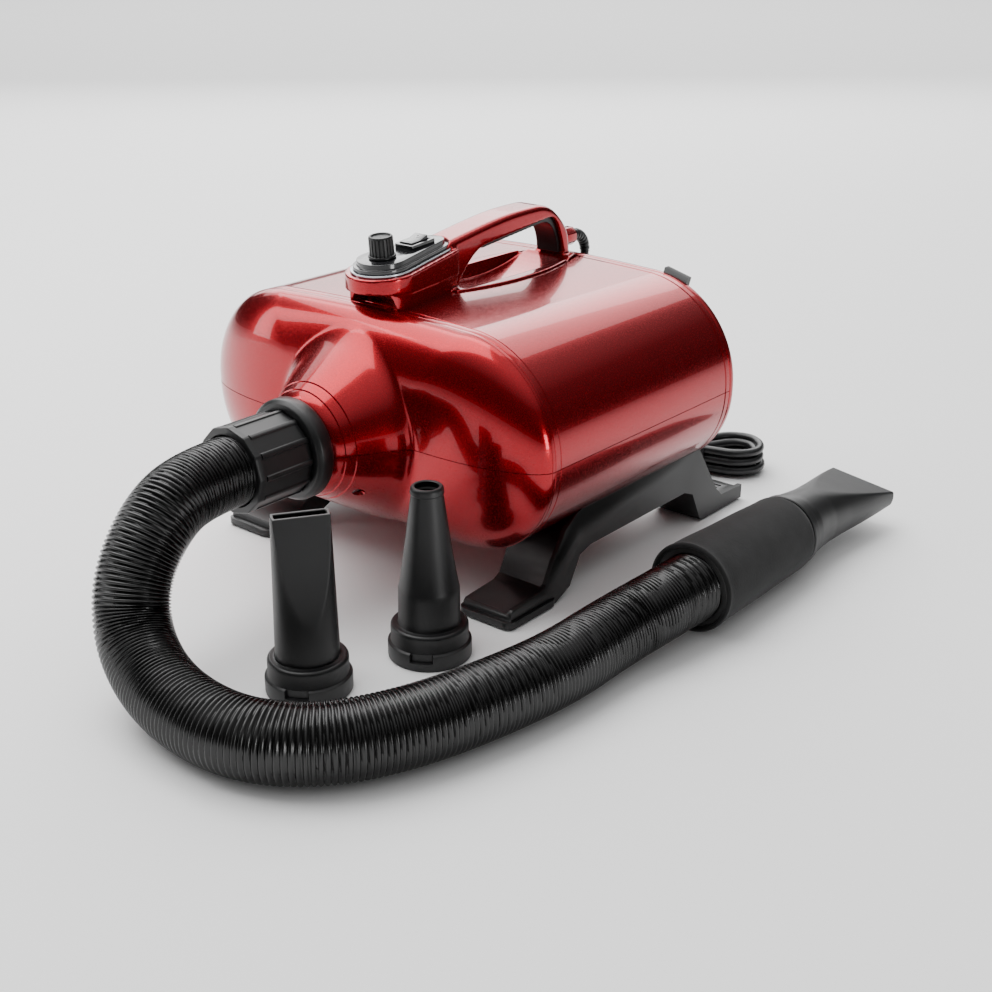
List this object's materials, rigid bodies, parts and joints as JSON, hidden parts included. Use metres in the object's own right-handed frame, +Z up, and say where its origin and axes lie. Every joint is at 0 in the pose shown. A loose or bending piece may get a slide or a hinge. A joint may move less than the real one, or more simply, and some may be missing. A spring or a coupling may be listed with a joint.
{
  "type": "pet dryer",
  "caption": "Floor-standing pet blow dryer: rounded twin-fan casing with carry handle and control pod, ribbed hose, hand grip with wide nozzle, spare nozzles and power lead.",
  "frame": {"origin": "on the surface that the dryer stands on, at the centre of its four feet", "axes": "+X the dryer's right side, -Y its outlet end, +Z up"},
  "size_m": [0.3955, 0.6039, 0.2274],
  "materials": {
    "red_casing": "candy red metallic lacquer over ABS",
    "black_satin": "satin moulded black",
    "black_gloss": "polished black panel",
    "bright_trim": "bright plated rim",
    "hose_black": "ribbed flexible hose",
    "cord_black": "flexible PVC",
    "foam": "open cell filter foam",
    "motor_steel": "motor can and bearings",
    "shaft_steel": "ground shaft and screws",
    "impeller_alu": "cast impeller",
    "inner_plastic": "unpainted internal moulding",
    "board_green": "printed circuit board",
    "pin_brass": "plug pins"
  },
  "bodies": {
    "casing": {"upper_shell": "red_casing", "lower_shell": "red_casing", "nose_upper": "red_casing", "nose_lower": "red_casing", "handle_frame": "red_casing", "rear_bezel": "red_casing", "motor_bulkhead": "inner_plastic", "motor_left": "motor_steel", "motor_right": "motor_steel", "bearings_left": "motor_steel", "bearings_right": "motor_steel", "fan_housing_left": "inner_plastic", "fan_housing_right": "inner_plastic", "air_duct": "inner_plastic", "outlet_ring": "black_satin", "grip_sleeve": "black_satin", "grip_collar": "black_satin", "grip_tube": "inner_plastic", "nozzle_socket": "black_satin", "grip_insert": "black_satin", "panel_trim": "bright_trim", "control_panel": "black_gloss", "speed_control": "inner_plastic", "rocker_bezel": "black_satin", "switch_body": "inner_plastic", "circuit_board": "board_green", "cord_boss": "red_casing", "strain_relief": "cord_black", "foot_rail_left": "black_satin", "foot_rail_right": "black_satin", "rubber_pads": "hose_black", "hose": "hose_black", "power_cord": "cord_black", "cord_hank": "cord_black", "cord_tie": "black_satin", "plug_lead": "cord_black", "plug_body": "cord_black", "plug_pins": "pin_brass", "rail_screws": "shaft_steel", "handle_screws": "shaft_steel", "cone_screws": "shaft_steel"},
    "speed_knob": {"speed_knob": "black_satin"},
    "power_rocker": {"power_rocker": "black_satin"},
    "fan_left": {"impeller_left": "impeller_alu", "motor_shaft_left": "shaft_steel"},
    "fan_right": {"impeller_right": "impeller_alu", "motor_shaft_right": "shaft_steel"},
    "hose_cuff": {"hose_cuff": "black_satin"},
    "rear_cover": {"rear_grille": "black_satin", "filter_foam": "foam"},
    "wide_nozzle": {"wide_nozzle": "black_satin"},
    "round_nozzle": {"round_nozzle": "black_satin"},
    "flat_nozzle": {"flat_nozzle": "black_satin"}
  },
  "joints": [
    {"name": "speed_knob_turn", "type": "hinge", "parent": "casing", "child": "speed_knob", "pos_m": [0, -0.1065, 0.205], "axis": [0, -0.0872, 0.9962], "range_deg": [0, 270]},
    {"name": "power_rocker_tip", "type": "hinge", "parent": "casing", "child": "power_rocker", "pos_m": [0, -0.07609, 0.21308], "axis": [1, 0, 0], "range_deg": [-14, 0]},
    {"name": "fan_spin_left", "type": "hinge", "parent": "casing", "child": "fan_left", "pos_m": [-0.07, 0, 0.107], "axis": [0, 1, 0], "continuous": true},
    {"name": "fan_spin_right", "type": "hinge", "parent": "casing", "child": "fan_right", "pos_m": [0.07, 0, 0.107], "axis": [0, 1, 0], "continuous": true},
    {"name": "hose_cuff_twist", "type": "hinge", "parent": "casing", "child": "hose_cuff", "pos_m": [0, -0.2, 0.107], "axis": [0, 1, 0], "range_deg": [0, 30]},
    {"name": "rear_cover_pull", "type": "slide", "parent": "casing", "child": "rear_cover", "axis": [0, 1, 0], "range_m": [0, 0.01]},
    {"name": "wide_nozzle_twist", "type": "hinge", "parent": "casing", "child": "wide_nozzle", "pos_m": [0.216, -0.066, 0.02953], "axis": [0, 0.9998, -0.0219], "range_deg": [0, 30]},
    {"name": "round_nozzle_lift", "type": "slide", "parent": "casing", "child": "round_nozzle", "axis": [0, 0, 1], "range_m": [0, 0.05]},
    {"name": "flat_nozzle_lift", "type": "slide", "parent": "casing", "child": "flat_nozzle", "axis": [0, 0, 1], "range_m": [0, 0.05]}
  ]
}
